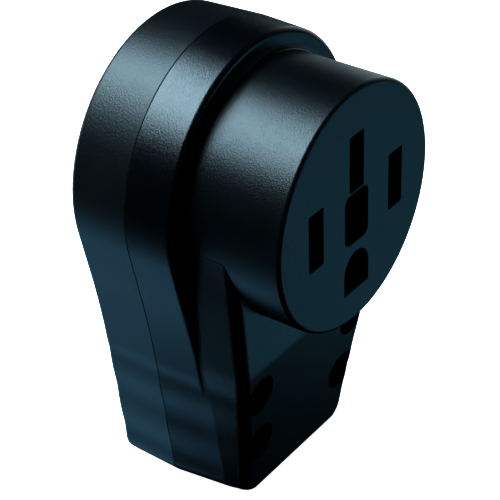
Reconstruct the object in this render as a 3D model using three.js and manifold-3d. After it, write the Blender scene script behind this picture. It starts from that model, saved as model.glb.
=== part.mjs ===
// Angled four-wire 50 A female power connector (NEMA 14-50 slot pattern) for caravan supply cords.
// A receptacle with a slotted face stands out of a two-piece moulded case whose handle hangs below it.
// Every part is built around the centre of the slotted face: +X right, +Y back into the case, +Z up.
// The whole group is then lifted, so that the handle stands on z = 0 with the depth centred on y = 0.
// All sizes are in millimetres.

import * as THREE from 'three';
import { mergeVertices } from 'three/addons/utils/BufferGeometryUtils.js';
import Module from 'manifold-3d';

const wasm = await Module();
wasm.setup();

// Whole case
const CASE_DEPTH = 48.7;
const FACE_HEIGHT = 71.3;
const BOTTOM = -FACE_HEIGHT;
const WALL = 2.4;
const FLOOR = 2.6;
const GAP = 0.3;

// Drum: the round upper half of the case
const DRUM_RADIUS = 31.6;
const DRUM_FRONT = 22.75;
const PARTING = 34;
const DRUM_FRONT_DRAFT = 0.3;
const DRUM_BACK_DRAFT = 0.6;
const DRUM_EDGE = 1.3;
const DRUM_SIDES = 64;
const DRUM_CAVITY_RADIUS = 28.9;
const FRONT_WALL_BACK = 25.5;

// Barrel: the receptacle's shell, whose front stands out of the case, and the contact carrier in it
const BARREL_RADIUS = 26.85;
const BARREL_EDGE = 0.9;
const BARREL_OPENING = BARREL_RADIUS + GAP;
const FLANGE_RADIUS = 28.4;
const FLANGE_FRONT = FRONT_WALL_BACK + GAP;
const BODY_BACK = 28.8;
const SHELL_CAVITY_RADIUS = 24.5;

// Flanks of the handle: steep under the drum, then bending to a gentler taper
const FLANK_TOP_ANGLE = THREE.MathUtils.degToRad(12.5);
const FLANK_TOP_X = DRUM_RADIUS * Math.cos(FLANK_TOP_ANGLE);
const FLANK_TOP_Z = -DRUM_RADIUS * Math.sin(FLANK_TOP_ANGLE);
const FLANK_TOP_SLOPE = Math.tan(FLANK_TOP_ANGLE);
const FLANK_LOW_SLOPE = 0.122;
const FLANK_BEND_TOP = -18;
const FLANK_BEND_BOTTOM = -38;
const BOTTOM_CORNER = 4.5;
const BACK_CORNER = 1.2;

// Front block of the handle: walls tangent to the barrel, with a panel that leans back lower down
const BLOCK_TOP_ANGLE = THREE.MathUtils.degToRad(4.4);
const BLOCK_TOP_X = BARREL_RADIUS * Math.cos(BLOCK_TOP_ANGLE);
const BLOCK_TOP_Z = -BARREL_RADIUS * Math.sin(BLOCK_TOP_ANGLE);
const BLOCK_TOP_SLOPE = Math.tan(BLOCK_TOP_ANGLE);
const BLOCK_LOW_SLOPE = 0.155;
const PANEL_BEND_Z = -34;
const PANEL_DEPTH = 11.4;
const PANEL_LEAN = 0.135;
const PANEL_CORNER = 1.6;
const BLOCK_DRAFT = 0.8;
const SHOULDER_TOP = -34;
const SHOULDER_BOTTOM = -42;

// Slots of the face, by centre and size
const HOT_X = 14.3;
const HOT_SLOT = { width: 4.5, bottom: -6.53, top: 6.18 };
const NEUTRAL_SLOT = { width: 4.5, bottom: 4.37, top: 16.94 };
const CORE_POCKET = { width: 7.84, bottom: -7.6, top: 3.7, depth: 12, corner: 1.5 };
const GROUND_SLOT = { width: 8.3, bottom: -19.2, top: -10.4 };
const FACE_SKIN = 5.6;
const CLIP_POCKET_WIDTH = 9.2;
const CLIP_POCKET_BACK = 20;

// Contacts and their terminals
const TERMINAL = { size: 12, front: 20.3, shoulder: 28.5, neck: 10, back: 33.5 };
const NEUTRAL_Z = 10.65;
const GROUND_Z = -14.8;
const LEAF = { thickness: 1, front: 6.2, pinch: 9.5, height: 10.5 };
const PLATE = { width: 12.2, height: 9, thickness: 1.5, hole: 2.5 };
const TERMINAL_SCREW = { head: 4, headHeight: 2.8, shank: 2.1, tip: 22.6 };
const RETAINER = { radius: 24.1, front: BODY_BACK + GAP, back: 31.3 };
const RETAINER_SCREW = { x: 13.5, z: -15, head: 2.8, headHeight: 2, shank: 1.4, tip: 2.8 };

// Case screws, in wells of the front panel, and the bosses of the cover that they bite into
const CASE_SCREWS = [
  { name: 'case_screw_upper_left', x: -17.4, z: -42.2 },
  { name: 'case_screw_upper_right', x: 17.4, z: -42.2 },
  { name: 'case_screw_lower_left', x: -15.6, z: -57 },
  { name: 'case_screw_lower_right', x: 15.6, z: -57 },
];
const WELL = { recess: 4.3, outer: 6, floorFront: 21.6, back: 24.3 };
const CASE_SCREW = { head: 3.6, headHeight: 2.4, shank: 1.75, tip: 41 };
const BOSS_RADIUS = 3.2;
const SCREW_CLEARANCE = 0.35;

// Posts of the cover that press on the flange of the receptacle's shell
const POST_ANGLES = [90, 20, 160];
const POST = { pitch: 26.3, radius: 1.9 };

// Cable way: hole in the bottom, its rubber grommet, and the saddle clamp above it
const CABLE_Y = 32;
const CABLE_HOLE = 12.3;
const GROMMET = { bore: 10.8, neck: 12, flange: 13.2, top: -66.6 };
const CLAMP = { z: -49.6, width: 5.6, y: 30, bore: 10, thickness: 2.2, footX: 15.2, footEnd: 18.2 };
const CLAMP_BOSS = 2.8;
const CLAMP_SCREW = { head: 2.7, headHeight: 2.4, shank: 1.6, tip: 20 };

const SMOOTH_ARC = 8;
const SCREW_SIDES = 16;

// ---------------------------------------------------------------- solids

function toSolid(geometry) {
  const bare = geometry.clone();
  bare.deleteAttribute('normal');
  bare.deleteAttribute('uv');
  const merged = mergeVertices(bare, 1e-4);
  return new wasm.Manifold(new wasm.Mesh({
    numProp: 3,
    vertProperties: new Float32Array(merged.attributes.position.array),
    triVerts: new Uint32Array(merged.index.array),
  }));
}

function toGeometry(solid) {
  const mesh = solid.getMesh();
  const geometry = new THREE.BufferGeometry();
  geometry.setAttribute('position', new THREE.BufferAttribute(new Float32Array(mesh.vertProperties), 3));
  geometry.setIndex(new THREE.BufferAttribute(new Uint32Array(mesh.triVerts), 1));
  const flat = geometry.toNonIndexed();
  flat.computeVertexNormals();
  return flat;
}

function join(solids) {
  return solids.reduce((whole, piece) => whole.add(piece));
}

function cut(solid, tools) {
  return tools.reduce((rest, tool) => rest.subtract(tool), solid);
}

// A box between two limits on each axis
function block(x0, x1, y0, y1, z0, z1) {
  const geometry = new THREE.BoxGeometry(x1 - x0, y1 - y0, z1 - z0);
  geometry.translate((x0 + x1) / 2, (y0 + y1) / 2, (z0 + z1) / 2);
  return toSolid(geometry);
}

// A round rod along Y
function rod(radius, y0, y1, x = 0, z = 0, sides = 24) {
  const geometry = new THREE.CylinderGeometry(radius, radius, y1 - y0, sides);
  geometry.translate(x, (y0 + y1) / 2, z);
  return toSolid(geometry);
}

// A round rod along Z
function uprightRod(radius, z0, z1, x, y, sides = 48) {
  const geometry = new THREE.CylinderGeometry(radius, radius, z1 - z0, sides);
  geometry.rotateX(Math.PI / 2);
  geometry.translate(x, y, (z0 + z1) / 2);
  return toSolid(geometry);
}

// A profile of [radius, y] corners turned about the Y axis
function turned(profile, sides) {
  const points = profile.map(([radius, y]) => new THREE.Vector2(radius, y));
  return toSolid(new THREE.LatheGeometry(points, sides));
}

// An outline in X and Z, carried along Y from y0 to y1
function prism(shape, y0, y1) {
  const geometry = new THREE.ExtrudeGeometry(shape, {
    depth: y1 - y0, bevelEnabled: false, curveSegments: SMOOTH_ARC,
  });
  geometry.rotateX(Math.PI / 2);
  geometry.translate(0, y1, 0);
  return toSolid(geometry);
}

// An outline in X and Y, carried along Z between z0 and z1
function uprightPrism(shape, z0, z1) {
  const geometry = new THREE.ExtrudeGeometry(shape, {
    depth: z1 - z0, bevelEnabled: false, curveSegments: SMOOTH_ARC,
  });
  geometry.translate(0, 0, z0);
  return toSolid(geometry);
}

// Quarter of a round edge, as [radius, y] corners of a turned profile
function roundEdge(radius, y, size, towardBack) {
  const corners = [];
  for (let step = 0; step <= 3; step += 1) {
    const angle = (step / 3) * Math.PI / 2;
    const inset = size * (1 - Math.sin(angle));
    const along = size * (1 - Math.cos(angle));
    corners.push([radius - inset, towardBack ? y - along : y + along]);
  }
  return corners;
}

// ---------------------------------------------------------------- outlines

// Half width of the case at the parting plane, below the drum
function flankHalfWidth(z) {
  const straight = FLANK_TOP_X - FLANK_TOP_SLOPE * (FLANK_TOP_Z - Math.max(z, FLANK_BEND_TOP));
  const bendLength = FLANK_BEND_TOP - FLANK_BEND_BOTTOM;
  const inBend = THREE.MathUtils.clamp(FLANK_BEND_TOP - z, 0, bendLength);
  const slopeLoss = (FLANK_TOP_SLOPE - FLANK_LOW_SLOPE) / bendLength;
  const bend = FLANK_TOP_SLOPE * inBend - slopeLoss * inBend * inBend / 2;
  const low = FLANK_LOW_SLOPE * Math.max(FLANK_BEND_BOTTOM - z, 0);
  return straight - bend - low;
}

// Half width of the front block at its panel
function blockHalfWidth(z) {
  const upper = BLOCK_TOP_X - BLOCK_TOP_SLOPE * (BLOCK_TOP_Z - Math.max(z, PANEL_BEND_Z));
  const lower = BLOCK_LOW_SLOPE * Math.max(PANEL_BEND_Z - z, 0);
  return upper - lower;
}

// Half width of the front block at the parting plane: it swells out to the flank at the shoulder
function blockRearHalfWidth(z) {
  const blend = THREE.MathUtils.smoothstep(-z, -SHOULDER_TOP, -SHOULDER_BOTTOM);
  return THREE.MathUtils.lerp(blockHalfWidth(z) + BLOCK_DRAFT, flankHalfWidth(z), blend);
}

// Depth of the front panel behind the face
function panelDepth(z) {
  return PANEL_DEPTH + PANEL_LEAN * Math.max(PANEL_BEND_Z - z, 0);
}

// Outline of a handle section from its top down to the rounded bottom corners
function handleOutline(halfWidth, top, bottom, corner) {
  const side = [];
  const sideEnd = bottom + corner;
  const steps = Math.ceil((top - sideEnd) / 4);
  for (let step = 0; step <= steps; step += 1) {
    const z = THREE.MathUtils.lerp(top, sideEnd, step / steps);
    side.push(new THREE.Vector2(halfWidth(z), z));
  }
  for (let step = 1; step <= 4; step += 1) {
    const angle = (step / 4) * Math.PI / 2;
    const x = halfWidth(sideEnd) - corner * (1 - Math.cos(angle));
    side.push(new THREE.Vector2(x, sideEnd - corner * Math.sin(angle)));
  }
  const mirrored = side.map((point) => new THREE.Vector2(-point.x, point.y)).reverse();
  return new THREE.Shape([...side, ...mirrored]);
}

// A handle section carried through levels, each with its own depth and half width at every height
function shaped(outline, halfWidth, levels) {
  const last = levels.length - 1;
  const geometry = new THREE.ExtrudeGeometry(outline, { depth: last, steps: last, bevelEnabled: false });
  geometry.rotateX(Math.PI / 2);
  geometry.translate(0, last, 0);
  const position = geometry.attributes.position;
  for (let index = 0; index < position.count; index += 1) {
    const level = levels[Math.round(position.getY(index))];
    const z = position.getZ(index);
    position.setX(index, position.getX(index) * level.width(z) / halfWidth(z));
    position.setY(index, level.depth(z));
  }
  return toSolid(geometry);
}

// ---------------------------------------------------------------- case

// Front block with its panel; inset moves every wall inwards to give its hollow
function frontBlock(inset, back) {
  const width = (z) => blockRearHalfWidth(z) - inset;
  const bottom = BOTTOM + (inset > 0 ? FLOOR : 0);
  const corner = BOTTOM_CORNER - (inset > 0 ? WALL : 0);
  const outline = handleOutline(width, BLOCK_TOP_Z, bottom, corner);
  const panel = (z) => panelDepth(z) + inset;
  return shaped(outline, width, [
    { depth: panel, width: (z) => blockHalfWidth(z) - PANEL_CORNER - inset },
    { depth: (z) => panel(z) + PANEL_CORNER, width: (z) => blockHalfWidth(z) - inset },
    { depth: () => back, width },
  ]);
}

// Flared sides that carry the drum down into the handle, in front of the parting plane
function frontFlare(inset, front, back) {
  const width = (z) => flankHalfWidth(z) - inset;
  const outline = handleOutline(width, FLANK_TOP_Z, SHOULDER_BOTTOM, 0.5);
  const { smoothstep } = THREE.MathUtils;
  const ending = (z) => 0.4 + 0.6 * smoothstep(-z, -SHOULDER_TOP - 2, -SHOULDER_BOTTOM - 2);
  return shaped(outline, width, [
    { depth: () => front, width: (z) => width(z) - ending(z) - 0.7 },
    { depth: () => front + 0.7, width: (z) => width(z) - ending(z) },
    { depth: () => back, width },
  ]);
}

function caseScrewWells(radius, y0, y1) {
  return CASE_SCREWS.map((screw) => rod(radius, y0, y1, screw.x, screw.z, 28));
}

function frontHousing() {
  const back = PARTING - GAP / 2;
  const drumFrontRadius = DRUM_RADIUS - DRUM_FRONT_DRAFT;
  const drum = turned([
    [0, DRUM_FRONT],
    ...roundEdge(drumFrontRadius, DRUM_FRONT, DRUM_EDGE, false),
    [DRUM_RADIUS, back],
    [0, back],
  ], DRUM_SIDES);
  const outer = join([drum, frontFlare(0, DRUM_FRONT, back), frontBlock(0, back)]);

  const opening = back + 1;
  const hollows = join([
    rod(DRUM_CAVITY_RADIUS, FRONT_WALL_BACK, opening, 0, 0, DRUM_SIDES),
    frontFlare(WALL, FRONT_WALL_BACK, opening),
    frontBlock(WALL, opening),
  ]);
  const keptInside = [...caseScrewWells(WELL.outer, 0, WELL.back), clampSaddle()];
  return cut(outer, [
    cut(hollows, keptInside),
    rod(BARREL_OPENING, 0, FRONT_WALL_BACK + 1, 0, 0, DRUM_SIDES),
    ...caseScrewWells(WELL.recess, 0, WELL.floorFront),
    ...caseScrewWells(CASE_SCREW.shank + SCREW_CLEARANCE, 0, WELL.back + 1),
    ...clampScrewHoles(),
    uprightRod(CABLE_HOLE, BOTTOM - 1, BOTTOM + FLOOR + 1, 0, CABLE_Y),
  ]);
}

// Saddle inside the front housing that the cable lies in, with its two screw bosses
function clampSaddle() {
  const low = CLAMP.z - CLAMP.width / 2;
  const high = CLAMP.z + CLAMP.width / 2;
  const bar = block(-CLAMP.footX, CLAMP.footX, 0, CLAMP.y, low, high);
  const bosses = [-1, 1].map((side) => rod(CLAMP_BOSS, 0, CLAMP.y, side * CLAMP.footX, CLAMP.z, 20));
  return cut(join([bar, ...bosses]), [uprightRod(CLAMP.bore, low - 1, high + 1, 0, CLAMP.y)]);
}

function clampScrewHoles() {
  const radius = CLAMP_SCREW.shank + SCREW_CLEARANCE;
  const tip = CLAMP_SCREW.tip - 0.6;
  return [-1, 1].map((side) => rod(radius, tip, CLAMP.y + 1, side * CLAMP.footX, CLAMP.z, 16));
}

function rearCover() {
  const front = PARTING + GAP / 2;
  const backRadius = DRUM_RADIUS - DRUM_BACK_DRAFT;
  const drum = turned([
    [0, front],
    [DRUM_RADIUS, front],
    ...roundEdge(backRadius, CASE_DEPTH, BACK_CORNER, true).reverse(),
    [0, CASE_DEPTH],
  ], DRUM_SIDES);
  const outline = handleOutline(flankHalfWidth, FLANK_TOP_Z, BOTTOM, BOTTOM_CORNER);
  const handle = shaped(outline, flankHalfWidth, [
    { depth: () => front, width: flankHalfWidth },
    { depth: () => CASE_DEPTH - BACK_CORNER, width: (z) => flankHalfWidth(z) - DRUM_BACK_DRAFT },
    { depth: () => CASE_DEPTH, width: (z) => flankHalfWidth(z) - DRUM_BACK_DRAFT - BACK_CORNER },
  ]);

  const inner = CASE_DEPTH - WALL;
  const innerWidth = (z) => flankHalfWidth(z) - WALL - DRUM_BACK_DRAFT / 2;
  const innerOutline = handleOutline(innerWidth, FLANK_TOP_Z, BOTTOM + FLOOR, BOTTOM_CORNER - WALL);
  const hollow = join([
    rod(DRUM_CAVITY_RADIUS - DRUM_BACK_DRAFT / 2, front - 1, inner, 0, 0, DRUM_SIDES),
    prism(innerOutline, front - 1, inner),
  ]);
  const shell = cut(join([drum, handle]), [
    hollow,
    uprightRod(CABLE_HOLE, BOTTOM - 1, BOTTOM + FLOOR + 1, 0, CABLE_Y),
  ]);

  const bosses = CASE_SCREWS.map((place) => (
    rod(BOSS_RADIUS, WELL.back + GAP, inner + 1, place.x, place.z, 20)
  ));
  const posts = POST_ANGLES.map((degrees) => {
    const angle = THREE.MathUtils.degToRad(degrees);
    const x = POST.pitch * Math.cos(angle);
    return rod(POST.radius, BODY_BACK + GAP, inner + 1, x, POST.pitch * Math.sin(angle), 16);
  });
  const pilots = caseScrewWells(CASE_SCREW.shank + SCREW_CLEARANCE, WELL.back, CASE_SCREW.tip + 0.6);
  return cut(join([shell, ...bosses, ...posts]), pilots);
}

// ---------------------------------------------------------------- receptacle

function slotPrism(slot, x, y0, y1) {
  const half = slot.width / 2;
  return block(x - half, x + half, y0, y1, slot.bottom, slot.top);
}

// Ground slot: flat below, arched above
function groundSlotPrism(y0, y1) {
  const half = GROUND_SLOT.width / 2;
  const shape = new THREE.Shape();
  shape.moveTo(-half, GROUND_SLOT.bottom);
  shape.lineTo(half, GROUND_SLOT.bottom);
  shape.lineTo(half, GROUND_SLOT.top - half);
  shape.absarc(0, GROUND_SLOT.top - half, half, 0, Math.PI, false);
  shape.closePath();
  return prism(shape, y0, y1);
}

function corePocketPrism(y0, y1) {
  const half = CORE_POCKET.width / 2;
  const { bottom, top, corner } = CORE_POCKET;
  const shape = new THREE.Shape();
  shape.moveTo(-half + corner, bottom);
  shape.lineTo(half - corner, bottom);
  shape.absarc(half - corner, bottom + corner, corner, -Math.PI / 2, 0, false);
  shape.lineTo(half, top - corner);
  shape.absarc(half - corner, top - corner, corner, 0, Math.PI / 2, false);
  shape.lineTo(-half + corner, top);
  shape.absarc(-half + corner, top - corner, corner, Math.PI / 2, Math.PI, false);
  shape.lineTo(-half, bottom + corner);
  shape.absarc(-half + corner, bottom + corner, corner, Math.PI, Math.PI * 1.5, false);
  return prism(shape, y0, y1);
}

const CONTACTS = [
  { name: 'hot_contact_left', x: -HOT_X, z: 0, bite: 1, metal: 'brass' },
  { name: 'hot_contact_right', x: HOT_X, z: 0, bite: 1, metal: 'brass' },
  { name: 'neutral_contact', x: 0, z: NEUTRAL_Z, bite: 1, metal: 'silver' },
  { name: 'ground_contact', x: 0, z: GROUND_Z, bite: 2.1, metal: 'green' },
];

function retainerScrewHoles(y0, y1) {
  const radius = RETAINER_SCREW.shank + SCREW_CLEARANCE;
  return [-1, 1].map((side) => rod(radius, y0, y1, side * RETAINER_SCREW.x, RETAINER_SCREW.z, 16));
}

// Round cup whose floor is the slotted face
function receptacleShell() {
  const blank = turned([
    [0, 0],
    ...roundEdge(BARREL_RADIUS, 0, BARREL_EDGE, false),
    [BARREL_RADIUS, FLANGE_FRONT],
    [FLANGE_RADIUS, FLANGE_FRONT],
    [FLANGE_RADIUS, BODY_BACK],
    [0, BODY_BACK],
  ], DRUM_SIDES);
  return cut(blank, [
    rod(SHELL_CAVITY_RADIUS, FACE_SKIN, BODY_BACK + 1, 0, 0, DRUM_SIDES),
    slotPrism(HOT_SLOT, -HOT_X, -1, FACE_SKIN + 1),
    slotPrism(HOT_SLOT, HOT_X, -1, FACE_SKIN + 1),
    slotPrism(NEUTRAL_SLOT, 0, -1, FACE_SKIN + 1),
    groundSlotPrism(-1, FACE_SKIN + 1),
    corePocketPrism(-1, FACE_SKIN + 1),
    ...retainerScrewHoles(RETAINER_SCREW.tip - 0.6, FACE_SKIN + 1),
  ]);
}

// Solid insert in the shell, with a pocket for every contact
function contactCarrier() {
  const front = FACE_SKIN + GAP;
  const clipHalf = CLIP_POCKET_WIDTH / 2;
  const half = TERMINAL.size / 2 + GAP;
  const pockets = CONTACTS.flatMap((contact) => [
    block(contact.x - clipHalf, contact.x + clipHalf, front - 1, CLIP_POCKET_BACK + 0.1,
      contact.z - half, contact.z + half),
    block(contact.x - half, contact.x + half, CLIP_POCKET_BACK, BODY_BACK + 1,
      contact.z - half, contact.z + half),
  ]);
  return cut(rod(SHELL_CAVITY_RADIUS - GAP, front, BODY_BACK, 0, 0, 48), [
    ...pockets,
    corePocketPrism(front - 1, CORE_POCKET.depth),
    ...retainerScrewHoles(front - 1, BODY_BACK + 1),
  ]);
}

// Plate that traps the contacts in the carrier
function contactRetainer() {
  const half = TERMINAL.neck / 2 + GAP;
  const windows = CONTACTS.map((contact) => block(contact.x - half, contact.x + half,
    RETAINER.front - 1, RETAINER.back + 1, contact.z - half, contact.z + half));
  const holes = retainerScrewHoles(RETAINER.front - 1, RETAINER.back + 1);
  return cut(rod(RETAINER.radius, RETAINER.front, RETAINER.back, 0, 0, 48), [...windows, ...holes]);
}

// One springy leaf of a contact: flared mouth, pinch, then out to the root
function contactLeaf(side, bite) {
  const { thickness, front, pinch } = LEAF;
  const root = TERMINAL.front + 0.2;
  const inner = [[bite + 1, front], [bite, pinch], [bite + 1.4, root]];
  const outer = inner.map(([x, y]) => [x + thickness, y]).reverse();
  const corners = [...inner, ...outer].map(([x, y]) => new THREE.Vector2(side * x, y));
  const shape = new THREE.Shape(side > 0 ? corners : corners.reverse());
  return uprightPrism(shape, -LEAF.height / 2, LEAF.height / 2);
}

function contact(spec) {
  const half = TERMINAL.size / 2;
  const neck = TERMINAL.neck / 2;
  const solid = join([
    contactLeaf(-1, spec.bite),
    contactLeaf(1, spec.bite),
    block(-half, half, TERMINAL.front, TERMINAL.shoulder, -half, half),
    block(-neck, neck, TERMINAL.shoulder - 0.1, TERMINAL.back, -neck, neck),
  ]);
  const radius = TERMINAL_SCREW.shank + SCREW_CLEARANCE;
  const threadedHole = rod(radius, TERMINAL_SCREW.tip - 0.6, TERMINAL.back + 1);
  return cut(solid, [threadedHole]).translate([spec.x, 0, spec.z]);
}

// Pressure plate of a terminal, with its two long edges turned down a little
function pressurePlate(spec) {
  const y0 = TERMINAL.back + GAP;
  const y1 = y0 + PLATE.thickness;
  const half = PLATE.width / 2;
  const tall = PLATE.height / 2;
  const shape = new THREE.Shape([
    new THREE.Vector2(-half, y0 - 0.1),
    new THREE.Vector2(-half + 1.2, y0 + 0.2),
    new THREE.Vector2(half - 1.2, y0 + 0.2),
    new THREE.Vector2(half, y0 - 0.1),
    new THREE.Vector2(half, y1 - 0.5),
    new THREE.Vector2(half - 1, y1),
    new THREE.Vector2(-half + 1, y1),
    new THREE.Vector2(-half, y1 - 0.5),
  ]);
  const plate = uprightPrism(shape, -tall, tall);
  return cut(plate, [rod(PLATE.hole, y0 - 1, y1 + 1)]).translate([spec.x, 0, spec.z]);
}

// ---------------------------------------------------------------- screws

// Screw along Y: the head's underside lies at y, the shank runs to tip, and the drive is a slot or a cross
function screw({ head, headHeight, shank }, y, tip, drive) {
  const toHead = Math.sign(y - tip);
  const top = y + toHead * headHeight;
  const profile = [
    [0, tip],
    [shank * 0.6, tip],
    [shank, tip + toHead * shank * 0.5],
    [shank, y],
    [head, y],
    [head, y + toHead * headHeight * 0.55],
    [head * 0.72, top],
    [0, top],
  ];
  const ordered = toHead > 0 ? profile : profile.reverse();
  const solid = turned(ordered, SCREW_SIDES);
  const depth = headHeight * 0.45;
  const bottom = Math.min(top - toHead * depth, top + toHead);
  const mouth = Math.max(top - toHead * depth, top + toHead);
  const slotHalf = head * 0.13;
  const slotLength = drive === 'slot' ? head + 1 : head * 0.5;
  const cuts = [block(-slotLength, slotLength, bottom, mouth, -slotHalf, slotHalf)];
  if (drive === 'cross') {
    cuts.push(block(-slotHalf, slotHalf, bottom, mouth, -slotLength, slotLength));
  }
  return cut(solid, cuts);
}

function terminalScrew(spec) {
  const underHead = TERMINAL.back + GAP + PLATE.thickness + GAP;
  return screw(TERMINAL_SCREW, underHead, TERMINAL_SCREW.tip, 'slot').translate([spec.x, 0, spec.z]);
}

// ---------------------------------------------------------------- cable way

// Strap that presses the cable into the saddle
function cordClamp() {
  const low = CLAMP.z - CLAMP.width / 2;
  const high = CLAMP.z + CLAMP.width / 2;
  const foot = CLAMP.y + GAP;
  const outer = CLAMP.bore + CLAMP.thickness;
  const arch = uprightRod(outer, low, high, 0, CLAMP.y);
  const feet = block(-CLAMP.footEnd, CLAMP.footEnd, foot, foot + CLAMP.thickness, low, high);
  const below = block(-outer - 1, outer + 1, CLAMP.y - outer - 1, foot, low - 1, high + 1);
  const holes = [-1, 1].map((side) => rod(CLAMP_SCREW.shank + SCREW_CLEARANCE, foot - 1,
    foot + CLAMP.thickness + 1, side * CLAMP.footX, CLAMP.z, 16));
  const bore = uprightRod(CLAMP.bore, low - 1, high + 1, 0, CLAMP.y);
  return cut(join([arch, feet]), [below, bore, ...holes]);
}

function clampScrew(side) {
  const underHead = CLAMP.y + GAP + CLAMP.thickness + GAP;
  return screw(CLAMP_SCREW, underHead, CLAMP_SCREW.tip, 'cross').translate([side * CLAMP.footX, 0, CLAMP.z]);
}

// Rubber grommet in the cable hole, with a flange that rests inside the case
function cableGrommet() {
  const shelf = BOTTOM + FLOOR + GAP;
  const profile = [
    [GROMMET.bore, BOTTOM + GAP],
    [GROMMET.neck, BOTTOM + GAP],
    [GROMMET.neck, shelf],
    [GROMMET.flange, shelf],
    [GROMMET.flange, GROMMET.top - 0.6],
    [GROMMET.flange - 0.6, GROMMET.top],
    [GROMMET.bore, GROMMET.top],
    [GROMMET.bore, BOTTOM + GAP],
  ];
  const geometry = new THREE.LatheGeometry(profile.map(([r, z]) => new THREE.Vector2(r, z)), 36);
  geometry.rotateX(Math.PI / 2);
  geometry.translate(0, CABLE_Y, 0);
  return toSolid(geometry);
}

// ---------------------------------------------------------------- assembly

const MATERIALS = {
  case: { color: 0x10181c, roughness: 0.55, metalness: 0 },
  body: { color: 0x1b2c33, roughness: 0.6, metalness: 0 },
  retainer: { color: 0x2a2a28, roughness: 0.7, metalness: 0 },
  brass: { color: 0xb08d3c, roughness: 0.35, metalness: 1 },
  silver: { color: 0xb9bcc0, roughness: 0.3, metalness: 1 },
  green: { color: 0x2f6b3a, roughness: 0.45, metalness: 0.6 },
  steel: { color: 0x8d9196, roughness: 0.4, metalness: 1 },
  rubber: { color: 0x141414, roughness: 0.85, metalness: 0 },
};

const connector = new THREE.Group();
connector.position.set(0, -CASE_DEPTH / 2, FACE_HEIGHT);

function addPart(name, solid, material) {
  const mesh = new THREE.Mesh(toGeometry(solid), new THREE.MeshStandardMaterial(MATERIALS[material]));
  mesh.name = name;
  connector.add(mesh);
}

addPart('front_housing', frontHousing(), 'case');
addPart('rear_cover', rearCover(), 'case');
addPart('receptacle_shell', receptacleShell(), 'body');
addPart('contact_carrier', contactCarrier(), 'body');
addPart('contact_retainer', contactRetainer(), 'retainer');

for (const spec of CONTACTS) {
  const terminal = spec.name.replace('_contact', '');
  addPart(spec.name, contact(spec), 'brass');
  addPart(`${terminal}_pressure_plate`, pressurePlate(spec), 'steel');
  addPart(`${terminal}_terminal_screw`, terminalScrew(spec), spec.metal);
}

for (const place of CASE_SCREWS) {
  const solid = screw(CASE_SCREW, WELL.floorFront - GAP, CASE_SCREW.tip, 'cross');
  addPart(place.name, solid.translate([place.x, 0, place.z]), 'steel');
}

for (const [side, label] of [[-1, 'left'], [1, 'right']]) {
  const solid = screw(RETAINER_SCREW, RETAINER.back + GAP, RETAINER_SCREW.tip, 'cross');
  const placed = solid.translate([side * RETAINER_SCREW.x, 0, RETAINER_SCREW.z]);
  addPart(`retainer_screw_${label}`, placed, 'steel');
  addPart(`clamp_screw_${label}`, clampScrew(side), 'steel');
}

addPart('cord_clamp', cordClamp(), 'retainer');
addPart('cable_grommet', cableGrommet(), 'rubber');

export default connector;
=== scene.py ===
"""Looks of an angled 50 A female power connector: fine solids, materials, light and camera."""
import math

import bmesh
import bpy
from mathutils import Matrix, Vector


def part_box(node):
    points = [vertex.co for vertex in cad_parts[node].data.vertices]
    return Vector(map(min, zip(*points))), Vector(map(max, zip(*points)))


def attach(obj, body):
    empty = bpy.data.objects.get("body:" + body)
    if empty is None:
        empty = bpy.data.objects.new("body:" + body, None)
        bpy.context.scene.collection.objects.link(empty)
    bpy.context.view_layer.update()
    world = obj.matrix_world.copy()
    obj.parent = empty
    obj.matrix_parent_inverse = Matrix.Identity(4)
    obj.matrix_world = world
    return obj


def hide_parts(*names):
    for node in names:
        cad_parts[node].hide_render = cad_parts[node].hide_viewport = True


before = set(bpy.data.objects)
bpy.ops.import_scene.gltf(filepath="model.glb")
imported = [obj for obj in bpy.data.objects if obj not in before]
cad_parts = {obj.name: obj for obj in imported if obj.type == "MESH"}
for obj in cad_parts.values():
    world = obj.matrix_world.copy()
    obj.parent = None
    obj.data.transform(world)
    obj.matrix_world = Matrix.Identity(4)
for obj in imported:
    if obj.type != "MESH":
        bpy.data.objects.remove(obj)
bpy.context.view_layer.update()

MM = 0.001

# ---------------------------------------------------------------- shape, in millimetres from the face centre
# x to the right, depth behind the slotted face, height above its centre

BODY_LOW, BODY_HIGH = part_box("receptacle_shell")
COVER_LOW, COVER_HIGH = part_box("rear_cover")
_, HOUSING_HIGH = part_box("front_housing")
FACE_Y = BODY_LOW.y / MM
FACE_Z = (BODY_LOW.z + BODY_HIGH.z) / 2 / MM
CASE_DEPTH = COVER_HIGH.y / MM - FACE_Y
BOTTOM = COVER_LOW.z / MM - FACE_Z
DRUM_RADIUS = COVER_HIGH.x / MM
FLANGE_RADIUS = BODY_HIGH.x / MM
BODY_BACK = BODY_HIGH.y / MM - FACE_Y
GAP = 0.3
SEAM = 0.06
PARTING = HOUSING_HIGH.y / MM - FACE_Y + GAP / 2
WALL = 2.4
FLOOR = 2.6

DRUM_FRONT = 22.75
DRUM_FRONT_DRAFT = 0.3
DRUM_BACK_DRAFT = 0.6
DRUM_EDGE = 1.3
DRUM_HOLLOW = 28.9
BACK_EDGE = 1.3
FRONT_WALL_BACK = 25.5
FRONT_ROOM_EXTRA = 0.3
REAR_ROOM_EXTRA = 0.35
REAR_ROOM_OFFSET = 0.05
BARREL_RADIUS = 26.85
BARREL_EDGE = 0.9

FLANK_TOP_ANGLE = math.radians(12.5)
FLANK_TOP_X = DRUM_RADIUS * math.cos(FLANK_TOP_ANGLE)
FLANK_TOP_Z = -DRUM_RADIUS * math.sin(FLANK_TOP_ANGLE)
FLANK_TOP_SLOPE = math.tan(FLANK_TOP_ANGLE)
FLANK_LOW_SLOPE = 0.122
FLANK_BEND_TOP = -18
FLANK_BEND_BOTTOM = -38
BOTTOM_CORNER = 4.5

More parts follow.
